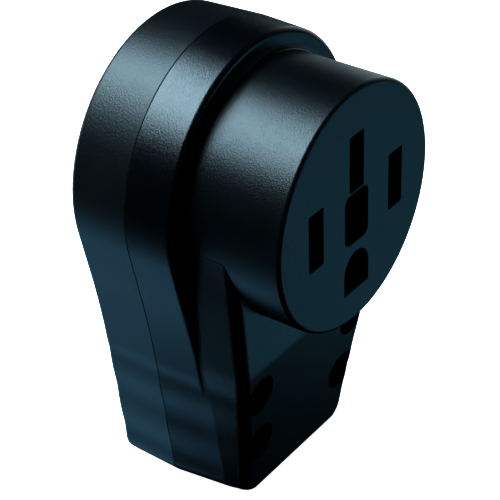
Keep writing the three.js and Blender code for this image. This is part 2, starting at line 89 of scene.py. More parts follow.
BLOCK_TOP_ANGLE = math.radians(4.4)
BLOCK_TOP_X = BARREL_RADIUS * math.cos(BLOCK_TOP_ANGLE)
BLOCK_TOP_Z = -BARREL_RADIUS * math.sin(BLOCK_TOP_ANGLE)
BLOCK_TOP_SLOPE = math.tan(BLOCK_TOP_ANGLE)
BLOCK_LOW_SLOPE = 0.155
BLOCK_ARC_RADIUS = BARREL_RADIUS - 0.35
PANEL_BEND_Z = -34
PANEL_DEPTH = 11.4
PANEL_LEAN = 0.135
PANEL_CORNER = 2.5
PANEL_CORNER_BELOW = 0.4
FLARE_DRAFT = 0.2
BLOCK_ROOM_WIDENING = 0.5
STEP_FILLET = 1.8
STEP_DRAFT = 0.3
SHOULDER_TOP = -36
SHOULDER_BOTTOM = -42.5
SEAM_EDGE = 0.12

GRIP_TOP = -37
GRIP_BOTTOM = -66
GRIP_PITCH = 12.4
GRIP_RIDGE = -44.6
GRIP_HEIGHT = 0.11

CABLE_DEPTH = 32
CABLE_HOLE = 12.3

CASE_SCREWS = ["upper_left", "upper_right", "lower_left", "lower_right"]
WELL_RADIUS = 4.3
WELL_OUTER = 6
WELL_FLOOR = 21.6
WELL_BACK = 24.3
WELL_CHAMFER = 0.25
WELL_FLARE = 3
WELL_FLARE_RISE = 2.7
SCREW_HOLE = 2.1
# slimmer than the 3.2 of the CAD, to stay clear of the front shell's inner wall
BOSS_RADIUS = 2.8
PILOT_END = 41.6
POST_ANGLES = (90, 20, 160)
POST_PITCH = 26.3
POST_RADIUS = 1.9

CLAMP_Z = -49.6
CLAMP_WIDTH = 5.6
CLAMP_DEPTH = 30
CLAMP_BORE = 10
CLAMP_THICKNESS = 2.2
CLAMP_FOOT = 15.2
CLAMP_FOOT_END = 18.2
CLAMP_BOSS = 2.8
CLAMP_HOLE = 1.95
CLAMP_HOLE_LENGTH = 10.6

OPENING_CHAMFER = 0.2
COLLAR_RADIUS = 27.8
COLLAR_HEIGHT = 0.45
COLLAR_EDGE = 0.25


def smoothstep(value, low, high):
    t = min(max((value - low) / (high - low), 0), 1)
    return t * t * (3 - 2 * t)


def mix(a, b, t):
    return a + (b - a) * t


def place(x, depth, height):
    return Vector((x, depth + FACE_Y, height + FACE_Z)) * MM


def centre_of(node):
    """Centre of a CAD node in x and height, from the face centre."""
    low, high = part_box(node)
    return (low.x + high.x) / 2 / MM, (low.z + high.z) / 2 / MM - FACE_Z


def grip_wave(z):
    """Shallow finger waves across the handle's sides."""
    fade = smoothstep(-z, -GRIP_TOP, -GRIP_TOP + 4) * (1 - smoothstep(-z, -GRIP_BOTTOM - 3, -GRIP_BOTTOM + 2))
    return GRIP_HEIGHT * fade * (math.cos(2 * math.pi * (z - GRIP_RIDGE) / GRIP_PITCH) - 1)


def flank(z):
    """Half width of the case at the parting plane, below the drum."""
    straight = FLANK_TOP_X - FLANK_TOP_SLOPE * (FLANK_TOP_Z - max(z, FLANK_BEND_TOP))
    length = FLANK_BEND_TOP - FLANK_BEND_BOTTOM
    inside = min(max(FLANK_BEND_TOP - z, 0), length)
    bend = FLANK_TOP_SLOPE * inside - (FLANK_TOP_SLOPE - FLANK_LOW_SLOPE) / length * inside * inside / 2
    return straight - bend - FLANK_LOW_SLOPE * max(FLANK_BEND_BOTTOM - z, 0)


def block_front(z):
    """Half width of the front block at its panel."""
    upper = BLOCK_TOP_X - BLOCK_TOP_SLOPE * (BLOCK_TOP_Z - max(z, PANEL_BEND_Z))
    return upper - BLOCK_LOW_SLOPE * max(PANEL_BEND_Z - z, 0)


def case_width(z):
    """Half width of the whole case at the parting plane, from just below the drum's middle down."""
    return flank(z) if z < FLANK_TOP_Z else math.sqrt(DRUM_RADIUS ** 2 - z ** 2)


def panel_depth(z):
    return PANEL_DEPTH + PANEL_LEAN * max(PANEL_BEND_Z - z, 0)


# ---------------------------------------------------------------- mesh building

def new_object(name, vertices, faces):
    mesh = bpy.data.meshes.new(name)
    mesh.from_pydata(vertices, [], faces)
    mesh.validate()
    work = bmesh.new()
    work.from_mesh(mesh)
    bmesh.ops.recalc_face_normals(work, faces=work.faces)
    work.to_mesh(mesh)
    work.free()
    obj = bpy.data.objects.new(name, mesh)
    bpy.context.scene.collection.objects.link(obj)
    return obj


def arc(radius, start, end, steps):
    angles = [math.radians(mix(start, end, i / steps)) for i in range(steps + 1)]
    return [(radius * math.cos(a), radius * math.sin(a)) for a in angles]


def side_points(width, top, bottom, corner, step=1.0):
    """Right side of a handle outline, down to the rounded corner at its bottom."""
    end = bottom + corner
    count = max(int((top - end) / step), 2)
    points = [(width(mix(top, end, i / count)), mix(top, end, i / count)) for i in range(count + 1)]
    for i in range(1, 9):
        angle = i / 8 * math.pi / 2
        points.append((width(end) - corner * (1 - math.cos(angle)), end - corner * math.sin(angle)))
    return points


def inset(right, side, below):
    """The right side moved inwards along its normals: by side, or by below where it faces down."""
    moved = []
    for i, (x, z) in enumerate(right):
        before = right[max(i - 1, 0)]
        after = right[min(i + 1, len(right) - 1)]
        along = Vector((after[0] - before[0], after[1] - before[1])).normalized()
        normal = Vector((-along.y, along.x))
        moved.append((x - normal.x * side, z - normal.y * (below if normal.y < 0 else side)))
    return moved


def at_depth(right, depth):
    """Right side points of one level as (x, depth, height)."""
    return [(x, depth(z), z) for x, z in right]


def ladder(name, levels):
    """A closed solid through levels of right side points, top to bottom, each mirrored to the left."""
    vertices = []
    faces = []
    for right in levels:
        vertices += [place(*point) for point in right]
        vertices += [place(-x, depth, z) for x, depth, z in reversed(right)]
    count = len(vertices) // len(levels)
    for level in range(len(levels) - 1):
        base = level * count
        for i in range(count):
            j = (i + 1) % count
            faces.append((base + i, base + j, base + count + j, base + count + i))
    for base in (0, (len(levels) - 1) * count):
        for i in range(count // 2 - 1):
            faces.append((base + i, base + i + 1, base + count - 2 - i, base + count - 1 - i))
    return new_object(name, vertices, faces)


def lathe(name, profile, sides=192, centre=(0, 0), axis="depth"):
    """A closed solid turned from (radius, along) corners that start and end on the axis."""
    vertices = []
    faces = []
    for radius, along in profile:
        for i in range(sides):
            angle = 2 * math.pi * i / sides
            a = centre[0] + radius * math.cos(angle)
            b = centre[1] + radius * math.sin(angle)
            vertices.append(place(a, along, b) if axis == "depth" else place(a, b, along))
    for row in range(len(profile) - 1):
        for i in range(sides):
            j = (i + 1) % sides
            base = row * sides
            faces.append((base + i, base + j, base + sides + j, base + sides + i))
    faces.append(tuple(range(sides)))
    last = (len(profile) - 1) * sides
    faces.append(tuple(range(last, last + sides)))
    return new_object(name, vertices, faces)


def rod(name, radius, low, high, centre, sides=64, axis="depth"):
    return lathe(name, [(radius, low), (radius, high)], sides, centre, axis)


def quarter(size, steps=6):
    """(inset, along) of a round edge, from the end face round to the side."""
    angles = [math.pi / 2 * (1 - i / steps) for i in range(steps + 1)]
    return [(size * (1 - math.cos(a)), size * (1 - math.sin(a))) for a in angles]


def combine(obj, operation, others):
    """Boolean of obj with each of the others, which are used up."""
    for other in others:
        modifier = obj.modifiers.new(operation, "BOOLEAN")
        modifier.operation = operation
        modifier.solver = "EXACT"
        modifier.object = other
        bake(obj)
        bpy.data.objects.remove(other)
    return obj


def bake(obj):
    """Applies every modifier of an object to its mesh."""
    bpy.context.view_layer.update()
    graph = bpy.context.evaluated_depsgraph_get()
    mesh = bpy.data.meshes.new_from_object(obj.evaluated_get(graph))
    old = obj.data
    obj.modifiers.clear()
    obj.data = mesh
    mesh.name = old.name
    bpy.data.meshes.remove(old)


def smooth_shading(obj, degrees=30):
    for polygon in obj.data.polygons:
        polygon.use_smooth = True
    obj.data.set_sharp_from_angle(angle=math.radians(degrees))
    level = obj.modifiers.new("level", "WEIGHTED_NORMAL")
    level.keep_sharp = True


def edged(obj, width, degrees=35):
    """Breaks every sharp edge of a solid with a small round."""
    bevel = obj.modifiers.new("edge", "BEVEL")
    bevel.limit_method = "ANGLE"
    bevel.angle_limit = math.radians(degrees)
    bevel.width = width * MM
    bevel.segments = 2
    bevel.use_clamp_overlap = True
    bake(obj)
    smooth_shading(obj, 40)
    return obj


def box(name, x, depth, height):
    """A block between two limits in x, depth and height."""
    vertices = [place(a, y, b) for y in depth for a, b in ((x[0], height[0]), (x[1], height[0]),
                                                          (x[1], height[1]), (x[0], height[1]))]
    faces = [(0, 1, 2, 3), (7, 6, 5, 4), (0, 4, 5, 1), (1, 5, 6, 2), (2, 6, 7, 3), (3, 7, 4, 0)]
    return new_object(name, vertices, faces)


# ---------------------------------------------------------------- case shells

def outline(radius, width, bottom=BOTTOM, corner=BOTTOM_CORNER):
    """Right side of the case: an arc over the top, then the half width at every height."""
    end = math.degrees(math.asin(BLOCK_TOP_Z / radius))
    return arc(radius, 89.5, end, 62) + side_points(width, BLOCK_TOP_Z, bottom, corner)[1:]


def shoulder_point(block, rim, rear, z, along):
    """A point of the surface from the block's side (along 0) over the step to the drum's side (1)."""
    start, end = Vector(block), Vector(rim)
    height = (end - start).length
    squeeze = min(1, height / (STEP_FILLET + DRUM_EDGE + 0.05))
    if along < 0.5:
        angle = along * math.pi
        offset = STEP_FILLET * squeeze * (1 - math.cos(angle))
        depth = DRUM_FRONT - STEP_FILLET * (1 - math.sin(angle))
    else:
        angle = (along - 0.5) * math.pi
        offset = height - DRUM_EDGE * squeeze * (1 - math.sin(angle))
        depth = DRUM_FRONT + DRUM_EDGE * (1 - math.cos(angle))
    x, height_here = start + (end - start) * (offset / max(height, 0.001))
    panel_edge = panel_depth(z) + PANEL_CORNER
    plain = mix(block[0], rear[0], (depth - panel_edge) / (PARTING - panel_edge))
    merged = smoothstep(-z, -SHOULDER_TOP, -SHOULDER_BOTTOM)
    return mix(x, plain, merged), depth, height_here


def front_outer(back):
    """Drum, flared sides and front block as one surface, with a fillet along the step between them."""
    def rim_inset(z):
        return DRUM_FRONT_DRAFT + FLARE_DRAFT * smoothstep(-z, 10, 34)

    at_panel = outline(BLOCK_ARC_RADIUS, lambda z: block_front(z) + grip_wave(z))
    at_root = outline(BLOCK_ARC_RADIUS,
                      lambda z: block_front(z) + STEP_DRAFT * smoothstep(-z, 4, 16) + grip_wave(z))
    at_rim = outline(DRUM_RADIUS - DRUM_FRONT_DRAFT, lambda z: case_width(z) - rim_inset(z) + grip_wave(z))
    at_rear = outline(DRUM_RADIUS, lambda z: case_width(z) + grip_wave(z))
    levels = []
    for inwards, along in quarter(PANEL_CORNER, 9):
        ring = inset(at_panel, inwards, inwards * PANEL_CORNER_BELOW)
        levels.append(at_depth(ring, lambda z, d=along: panel_depth(z) + d))
    for step in range(17):
        levels.append([shoulder_point(root, rim, rear, root[1], step / 16)
                       for root, rim, rear in zip(at_root, at_rim, at_rear)])
    for inwards, along in reversed(quarter(SEAM_EDGE, 3)):
        levels.append(at_depth(inset(at_rear, inwards, inwards), lambda z, d=along: back - d))
    return ladder("front_shell", levels)


def front_hollow(back):
    """Space inside the front shell: behind the drum's front wall, and down the block behind its panel."""
    width = outline(DRUM_HOLLOW, lambda z: case_width(z) - WALL - FRONT_ROOM_EXTRA, SHOULDER_BOTTOM, 0.5)
    space = ladder("hollow", [at_depth(width, lambda z: FRONT_WALL_BACK), at_depth(width, lambda z: back)])

    def side(widening):
        return side_points(lambda z: block_front(z) + widening - WALL, BLOCK_TOP_Z,
                           BOTTOM + FLOOR, BOTTOM_CORNER - WALL)

    down = ladder("hollow", [at_depth(side(0), lambda z: panel_depth(z) + WALL),
                             at_depth(side(BLOCK_ROOM_WIDENING), lambda z: back)])
    return combine(space, "UNION", [down])


def saddle():
    """Rest for the cable inside the front shell, with a screw boss at either end."""
    low, high = CLAMP_Z - CLAMP_WIDTH / 2, CLAMP_Z + CLAMP_WIDTH / 2
    bar = box("saddle", (-CLAMP_FOOT, CLAMP_FOOT), (0, CLAMP_DEPTH), (low, high))
    bosses = [rod("boss", CLAMP_BOSS, 0, CLAMP_DEPTH, (side * CLAMP_FOOT, CLAMP_Z), 48) for side in (-1, 1)]
    combine(bar, "UNION", bosses)
    bore = rod("bore", CLAMP_BORE, low - 1, high + 1, (0, CLAMP_DEPTH), 96, "height")
    return combine(bar, "DIFFERENCE", [bore])


def well_cutters():
    """Screw wells: a counterbore with a small chamfer at its mouth, and the screw's own hole."""
    cutters = []
    for name in CASE_SCREWS:
        x, z = centre_of("case_screw_" + name)
        mouth = panel_depth(z)
        profile = [
            (WELL_RADIUS + WELL_FLARE, mouth - WELL_FLARE_RISE),
            (WELL_RADIUS, mouth + WELL_CHAMFER),
            (WELL_RADIUS, WELL_FLOOR),
            (SCREW_HOLE, WELL_FLOOR),
            (SCREW_HOLE, WELL_BACK + 3),
        ]
        cutters.append(lathe("well", profile, 64, (x, z)))
    return cutters


def cable_hole():
    return rod("cable_hole", CABLE_HOLE, BOTTOM - 2, BOTTOM + FLOOR + 1, (0, CABLE_DEPTH), 90, "height")


def make_front_housing():
    back = PARTING - SEAM / 2
    shell = front_outer(back)
    wells = [rod("well_wall", WELL_OUTER, 0, WELL_BACK, centre_of("case_screw_" + n)) for n in CASE_SCREWS]
    hollow = combine(front_hollow(back + 2), "DIFFERENCE", [*wells, saddle()])
    opening = BARREL_RADIUS + SEAM
    lip = DRUM_FRONT - COLLAR_HEIGHT
    edge = [(COLLAR_RADIUS - inwards, lip + along) for inwards, along in quarter(COLLAR_EDGE, 4)]
    combine(shell, "UNION", [lathe("collar", [*edge, (COLLAR_RADIUS, DRUM_FRONT + 0.8)])])
    mouth = lathe("opening", [
        (opening, -1),
        (opening, lip - 0.01),
        (opening + OPENING_CHAMFER, lip),
        (opening, lip + OPENING_CHAMFER),
        (opening, FRONT_WALL_BACK + 1),
    ], 180)
    start, end = CLAMP_DEPTH - CLAMP_HOLE_LENGTH, CLAMP_DEPTH + 1
    threads = [rod("hole", CLAMP_HOLE, start, end, (side * CLAMP_FOOT, CLAMP_Z), 32) for side in (-1, 1)]
    return combine(shell, "DIFFERENCE", [mouth, *well_cutters(), hollow, *threads, cable_hole()])


def make_rear_cover():
    front = PARTING + SEAM / 2
    at_front = outline(DRUM_RADIUS, lambda z: case_width(z) + grip_wave(z))
    at_back = outline(DRUM_RADIUS - DRUM_BACK_DRAFT, lambda z: case_width(z) - DRUM_BACK_DRAFT + grip_wave(z))
    levels = []
    for inwards, along in quarter(SEAM_EDGE, 3):
        levels.append(at_depth(inset(at_front, inwards, inwards), lambda z, d=along: front + d))
    for inwards, along in reversed(quarter(BACK_EDGE)):
        levels.append(at_depth(inset(at_back, inwards, inwards), lambda z, d=along: CASE_DEPTH - d))
    shell = ladder("rear_shell", levels)
    inner = CASE_DEPTH - WALL
    drum_room = DRUM_HOLLOW - DRUM_BACK_DRAFT / 2 - REAR_ROOM_OFFSET
    room = outline(drum_room, lambda z: case_width(z) - WALL - REAR_ROOM_EXTRA,
                   BOTTOM + FLOOR, BOTTOM_CORNER - WALL)
    hollow = ladder("hollow", [at_depth(room, lambda z: front - 2), at_depth(room, lambda z: inner)])
    combine(shell, "DIFFERENCE", [hollow, cable_hole()])
    bosses = [rod("boss", BOSS_RADIUS, WELL_BACK + GAP, inner + 1, centre_of("case_screw_" + n), 48)
              for n in CASE_SCREWS]
    for degrees in POST_ANGLES:
        x, z = arc(POST_PITCH, degrees, degrees, 1)[0]
        bosses.append(rod("post", POST_RADIUS, BODY_BACK + GAP, inner + 1, (x, z), 32))
    combine(shell, "UNION", bosses)
    pilots = [rod("pilot", SCREW_HOLE, WELL_BACK, PILOT_END, centre_of("case_screw_" + n), 32)
              for n in CASE_SCREWS]
    return combine(shell, "DIFFERENCE", pilots)


front_shell = make_front_housing()
rear_shell = make_rear_cover()
for shell in (front_shell, rear_shell):
    smooth_shading(shell)

# ---------------------------------------------------------------- receptacle

HOT_X = 14.3
SLOT_WIDTH = 4.5
SLOT_CORNER = 0.25
HOT_SLOT = (-6.53, 6.18)
NEUTRAL_SLOT = (4.6, 16.94)
GROUND_SLOT = (-19.2, -10.4)
GROUND_WIDTH = 8.3
CORE_POCKET = (-7.6, 3.7)
CORE_WIDTH = 7.84
CORE_CORNER = 1.5
FACE_SKIN = 5.6
SHELL_CAVITY = 24.5
CORE_DEPTH = 12
RETAINER_SCREWS = ("retainer_screw_left", "retainer_screw_right")
CONTACTS = ("hot_contact_left", "hot_contact_right", "neutral_contact", "ground_contact")
RETAINER_HOLE = 1.75
RETAINER_HOLE_FRONT = 2.4
TERMINAL_HALF = 6.3
NECK_HALF = 5.3
CLIP_HALF = 4.6
CLIP_BACK = 20


def rounded_outline(x, bottom, top, width, corner, grow):
    half = width / 2 + grow
    low = bottom - grow
    high = top + grow
    radius = corner + grow
    points = []
    for cx, cz, start in ((x + half - radius, high - radius, 0), (x - half + radius, high - radius, 90),
                          (x - half + radius, low + radius, 180), (x + half - radius, low + radius, 270)):
        for i in range(7):
            angle = math.radians(start + 15 * i)
            points.append((cx + radius * math.cos(angle), cz + radius * math.sin(angle)))
    return points


def arched_outline(width, bottom, top, grow):
    half = width / 2 + grow
    centre = top + grow - half
    angles = [math.pi * i / 24 for i in range(25)]
    points = [(half * math.cos(a), centre + half * math.sin(a)) for a in angles]
    return points + [(-half, bottom - grow), (half, bottom - grow)]


def slot_cutter(outline, depth, chamfer=0.3):
    """A straight slot with a small chamfer round its mouth; outline(grow) gives its ring."""
    rings = [(outline(chamfer + 0.5), -0.5), (outline(0), chamfer), (outline(0), depth)]
    vertices = [place(x, y, z) for ring, y in rings for x, z in ring]
    count = len(rings[0][0])
    faces = [tuple(range(count)), tuple(range(2 * count, 3 * count))]
    for level in range(2):
        for i in range(count):
            j = (i + 1) % count
            base = level * count
            faces.append((base + i, base + j, base + count + j, base + count + i))
    return new_object("slot", vertices, faces)


def core_outline(grow):
    return rounded_outline(0, *CORE_POCKET, CORE_WIDTH, CORE_CORNER, grow)


def retainer_holes(front, back):
    return [rod("hole", RETAINER_HOLE, front, back, centre_of(n), 32) for n in RETAINER_SCREWS]


def make_receptacle_shell():
    """Cup with the slotted face as its floor."""
    edge = [(BARREL_RADIUS - inwards, along) for inwards, along in quarter(BARREL_EDGE)]
    body = lathe("receptacle", [*edge, (BARREL_RADIUS, FRONT_WALL_BACK + GAP),
                                (FLANGE_RADIUS, FRONT_WALL_BACK + GAP), (FLANGE_RADIUS, BODY_BACK)])
    through = FACE_SKIN + 1
    return combine(body, "DIFFERENCE", [
        rod("cavity", SHELL_CAVITY, FACE_SKIN, BODY_BACK + 1, (0, 0), 192),
        slot_cutter(lambda g: rounded_outline(-HOT_X, *HOT_SLOT, SLOT_WIDTH, SLOT_CORNER, g), through),
        slot_cutter(lambda g: rounded_outline(HOT_X, *HOT_SLOT, SLOT_WIDTH, SLOT_CORNER, g), through),
        slot_cutter(lambda g: rounded_outline(0, *NEUTRAL_SLOT, SLOT_WIDTH, SLOT_CORNER, g), through),
        slot_cutter(core_outline, through),
        slot_cutter(lambda g: arched_outline(GROUND_WIDTH, *GROUND_SLOT, g), through),
        *retainer_holes(RETAINER_HOLE_FRONT, through),
    ])


def make_carrier():
    """Insert behind the face, with a pocket for every contact."""
    front = FACE_SKIN + GAP
    body = rod("carrier", SHELL_CAVITY - GAP, front, BODY_BACK, (0, 0), 128)
    cutters = [slot_cutter(core_outline, CORE_DEPTH), *retainer_holes(front - 1, BODY_BACK + 1)]
    for node in CONTACTS:
        x, z = centre_of(node)
        tall = (z - TERMINAL_HALF, z + TERMINAL_HALF)
        cutters.append(box("pocket", (x - CLIP_HALF, x + CLIP_HALF), (front - 1, CLIP_BACK + 0.1), tall))
        cutters.append(box("pocket", (x - TERMINAL_HALF, x + TERMINAL_HALF),
                           (CLIP_BACK, BODY_BACK + 1), tall))
    return edged(combine(body, "DIFFERENCE", cutters), 0.2)


def make_retainer():
    low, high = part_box("contact_retainer")
    front, back = low.y / MM - FACE_Y, high.y / MM - FACE_Y
    plate = rod("retainer", high.x / MM, front, back, (0, 0), 128)
    cutters = retainer_holes(front - 1, back + 1)
    for node in CONTACTS:
        x, z = centre_of(node)
        cutters.append(box("window", (x - NECK_HALF, x + NECK_HALF), (front - 1, back + 1),
                           (z - NECK_HALF, z + NECK_HALF)))
    return edged(combine(plate, "DIFFERENCE", cutters), 0.25)


receptacle = make_receptacle_shell()
smooth_shading(receptacle)
carrier = make_carrier()
retainer = make_retainer()

# ---------------------------------------------------------------- cable way

GROMMET_NECK = 12
GROMMET_BORE = 10.8


def make_clamp():
    """Strap over the cable, with a screw foot at either end."""
    low, high = CLAMP_Z - CLAMP_WIDTH / 2, CLAMP_Z + CLAMP_WIDTH / 2
    foot = CLAMP_DEPTH + GAP
    outer = CLAMP_BORE + CLAMP_THICKNESS
    strap = rod("strap", outer, low, high, (0, CLAMP_DEPTH), 128, "height")
    feet = box("feet", (-CLAMP_FOOT_END, CLAMP_FOOT_END), (foot, foot + CLAMP_THICKNESS), (low, high))
    combine(strap, "UNION", [feet])
    cutters = [box("below", (-outer - 1, outer + 1), (CLAMP_DEPTH - outer - 1, foot), (low - 1, high + 1)),
               rod("bore", CLAMP_BORE, low - 1, high + 1, (0, CLAMP_DEPTH), 128, "height")]
    cutters += [rod("hole", CLAMP_HOLE, foot - 1, foot + CLAMP_THICKNESS + 1,
                    (side * CLAMP_FOOT, CLAMP_Z), 32)
                for side in (-1, 1)]
    return edged(combine(strap, "DIFFERENCE", cutters), 0.35)


def make_grommet():
    """Rubber ring in the cable hole, with a lip inside the case and rounded edges."""
    low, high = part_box("cable_grommet")
    bottom, top = low.z / MM - FACE_Z, high.z / MM - FACE_Z
    shelf = BOTTOM + FLOOR + GAP
    flange = high.x / MM
    lip = 0.5
    profile = [
        (GROMMET_NECK - lip, bottom),
        (GROMMET_NECK, bottom + lip),
        (GROMMET_NECK, shelf),
        (flange - 0.2, shelf),
        (flange, shelf + 0.2),
        (flange, top - 0.7),
        (flange - 0.3, top - 0.2),
        (flange - 0.8, top),
    ]
    ring = lathe("grommet", profile, 128, (0, CABLE_DEPTH), "height")
    bore = lathe("bore", [
        (GROMMET_BORE + lip + 1, bottom - 1),
        (GROMMET_BORE, bottom + lip),
        (GROMMET_BORE, top - lip),
        (GROMMET_BORE + lip + 1, top + 1),
    ], 128, (0, CABLE_DEPTH), "height")
    combine(ring, "DIFFERENCE", [bore])
    smooth_shading(ring)
    return ring


clamp = make_clamp()
grommet = make_grommet()

# ---------------------------------------------------------------- screws

THREAD_DEPTH = 0.22
THREAD_PITCH = 0.79375
TERMINAL_SCREW = {"head": 4, "head_height": 2.8, "shank": 2.1, "drive": "slot"}
CASE_SCREW = {"head": 3.6, "head_height": 2.4, "shank": 1.75, "drive": "cross", "head_back": False}
RETAINER_SCREW = {"head": 2.8, "head_height": 2, "shank": 1.4, "drive": "cross"}
CLAMP_SCREW = {"head": 2.7, "head_height": 2.4, "shank": 1.6, "drive": "cross"}


def make_screw(node, head, head_height, shank, drive, head_back=True):
    """Pan head screw with rings, not a helix, for its thread; its length and place are the CAD node's."""
    low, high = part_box(node)
    near, far = low.y / MM - FACE_Y, high.y / MM - FACE_Y
    tip, top = (near, far) if head_back else (far, near)
    out = 1 if head_back else -1
    length = abs(top - tip)
    under = length - head_height
    root = shank - THREAD_DEPTH
    profile = [(root * 0.55, 0), (root, 0.7)]
    turn = 0.7
    while turn + THREAD_PITCH < under - 0.5:
        profile += [(root, turn + 0.1), (shank, turn + 0.36), (shank, turn + 0.44), (root, turn + 0.7)]
        turn += THREAD_PITCH
    profile += [(root, under), (head - 0.15, under), (head, under + 0.15), (head, under + head_height * 0.5)]
    for inwards, along in reversed(quarter(1, 6)[:-1]):
        profile.append((head * (1 - 0.34 * inwards), length - head_height * 0.5 * along))
    profile.append((head * 0.3, length))
    body = lathe(node + "_fine", [(r, tip + out * along) for r, along in profile], 48, centre_of(node))
    x, z = centre_of(node)
    floor = top - out * head_height * 0.42
    depths = sorted((floor, top + out))
    half = head * 0.13
    reach = head + 1 if drive == "slot" else head * 0.52
    cutters = [box("drive", (x - reach, x + reach), depths, (z - half, z + half))]
    if drive == "cross":
        cutters.append(box("drive", (x - half, x + half), depths, (z - reach, z + reach)))
    combine(body, "DIFFERENCE", cutters)
    smooth_shading(body)
    return body


TERMINALS = ("hot_left", "hot_right", "neutral", "ground")
terminal_screws = {t: make_screw(t + "_terminal_screw", **TERMINAL_SCREW) for t in TERMINALS}
case_screws = {n: make_screw("case_screw_" + n, **CASE_SCREW) for n in CASE_SCREWS}
retainer_screws = {n: make_screw(n, **RETAINER_SCREW) for n in RETAINER_SCREWS}
clamp_screws = {side: make_screw("clamp_screw_" + side, **CLAMP_SCREW) for side in ("left", "right")}

# ---------------------------------------------------------------- materials

def material(name):
    made = bpy.data.materials.new(name)
    made.use_nodes = True
    return made, made.node_tree.nodes, made.node_tree.links, made.node_tree.nodes["Principled BSDF"]


def noise(nodes, links, scale, detail=2.0, roughness=0.5):
    coordinates = nodes.new("ShaderNodeTexCoord")
    texture = nodes.new("ShaderNodeTexNoise")
    texture.inputs["Scale"].default_value = scale
    texture.inputs["Detail"].default_value = detail
    texture.inputs["Roughness"].default_value = roughness
    links.new(coordinates.outputs["Object"], texture.inputs["Vector"])
    return texture.outputs["Fac"]


def ranged(nodes, links, source, low, high, from_low=0.3, from_high=0.7):
    mapping = nodes.new("ShaderNodeMapRange")
    mapping.inputs["From Min"].default_value = from_low
    mapping.inputs["From Max"].default_value = from_high
    mapping.inputs["To Min"].default_value = low
    mapping.inputs["To Max"].default_value = high
    links.new(source, mapping.inputs["Value"])
    return mapping.outputs["Result"]


def worn(nodes, links, colour, edge_colour, amount):
    """Colour that goes to edge_colour in broken patches along the solid's outer edges."""
    geometry = nodes.new("ShaderNodeNewGeometry")
    edge = ranged(nodes, links, geometry.outputs["Pointiness"], 0, amount, 0.515, 0.60)
    broken = nodes.new("ShaderNodeMath")
    broken.operation = "MULTIPLY"
    links.new(edge, broken.inputs[0])
    links.new(ranged(nodes, links, noise(nodes, links, 900, 4), 0.2, 1), broken.inputs[1])
    blend = nodes.new("ShaderNodeMix")
    blend.data_type = "RGBA"
    links.new(broken.outputs[0], blend.inputs["Factor"])
    links.new(colour, blend.inputs[6])
    blend.inputs[7].default_value = (*edge_colour, 1)
    return blend.outputs[2]


def tinted(nodes, links, colour, scale, spread):
    """Colour that wanders a little between a darker and a lighter shade."""
    ramp = nodes.new("ShaderNodeValToRGB")
    ramp.color_ramp.elements[0].position = 0.3
    ramp.color_ramp.elements[1].position = 0.7
    ramp.color_ramp.elements[0].color = (*[c * (1 - spread) for c in colour], 1)
    ramp.color_ramp.elements[1].color = (*[min(c * (1 + spread), 1) for c in colour], 1)
    links.new(noise(nodes, links, scale, 3), ramp.inputs["Fac"])
    return ramp.outputs["Color"]


def bumped(nodes, links, shader, layers):
    """Bump from layers of (scale, detail, distance in mm), the finest on top."""
    below = None
    for scale, detail, distance in layers:
        bump = nodes.new("ShaderNodeBump")
        bump.inputs["Strength"].default_value = 1
        bump.inputs["Distance"].default_value = distance * MM
        links.new(noise(nodes, links, scale, detail, 0.6), bump.inputs["Height"])
        if below:
            links.new(below, bump.inputs["Normal"])
        below = bump.outputs["Normal"]
    links.new(below, shader.inputs["Normal"])


def moulded(name, colour, roughness, grain, depth, wear=0.5):
    """Moulded plastic: spark-eroded grain, wandering roughness, and rubbed edges."""
    made, nodes, links, shader = material(name)
    edge_colour = [c * 2.2 + 0.012 for c in colour]
    links.new(worn(nodes, links, tinted(nodes, links, colour, 140, 0.2), edge_colour, wear),
              shader.inputs["Base Color"])
    links.new(ranged(nodes, links, noise(nodes, links, 700, 4), roughness - 0.015, roughness + 0.02),
              shader.inputs["Roughness"])
    bumped(nodes, links, shader, [(grain, 3, depth)])
    return made


def metal(name, colour, roughness, edge_colour, streaks):
    """Metal with fine drawn streaks along its depth, small dents, and edges rubbed bright."""
    made, nodes, links, shader = material(name)
    shader.inputs["Metallic"].default_value = 1
    links.new(worn(nodes, links, tinted(nodes, links, colour, 260, 0.12), edge_colour, 0.8),
              shader.inputs["Base Color"])
    coordinates = nodes.new("ShaderNodeTexCoord")
    stretch = nodes.new("ShaderNodeMapping")
    stretch.inputs["Scale"].default_value = (streaks, streaks * 0.05, streaks)
    links.new(coordinates.outputs["Object"], stretch.inputs["Vector"])
    drawn = nodes.new("ShaderNodeTexNoise")
    drawn.inputs["Scale"].default_value = 1
    drawn.inputs["Detail"].default_value = 3
    links.new(stretch.outputs["Vector"], drawn.inputs["Vector"])
    links.new(ranged(nodes, links, drawn.outputs["Fac"], roughness - 0.07, roughness + 0.12),
              shader.inputs["Roughness"])
    bumped(nodes, links, shader, [(300, 2, 0.01), (2400, 3, 0.004)])
    return made


case_plastic = moulded("case_plastic", (0.002, 0.004, 0.006), 0.25, 2600, 0.06)
cover_plastic = moulded("cover_plastic", (0.006, 0.009, 0.011), 0.36, 2600, 0.06)
face_plastic = moulded("face_plastic", (0.003, 0.007, 0.009), 0.34, 2800, 0.05)
retainer_plastic = moulded("retainer_plastic", (0.045, 0.045, 0.043), 0.5, 1800, 0.03)
clamp_plastic = moulded("clamp_plastic", (0.035, 0.035, 0.035), 0.45, 1500, 0.03)
rubber = moulded("rubber", (0.012, 0.012, 0.012), 0.72, 1200, 0.04, 0.2)
brass = metal("brass", (0.62, 0.42, 0.15), 0.28, (0.80, 0.62, 0.32), 2500)
screw_brass = metal("screw_brass", (0.66, 0.46, 0.18), 0.24, (0.83, 0.66, 0.36), 1800)
nickel = metal("nickel", (0.62, 0.61, 0.58), 0.2, (0.80, 0.79, 0.77), 1800)
green_dye = metal("green_dye", (0.04, 0.22, 0.08), 0.3, (0.34, 0.40, 0.24), 1800)
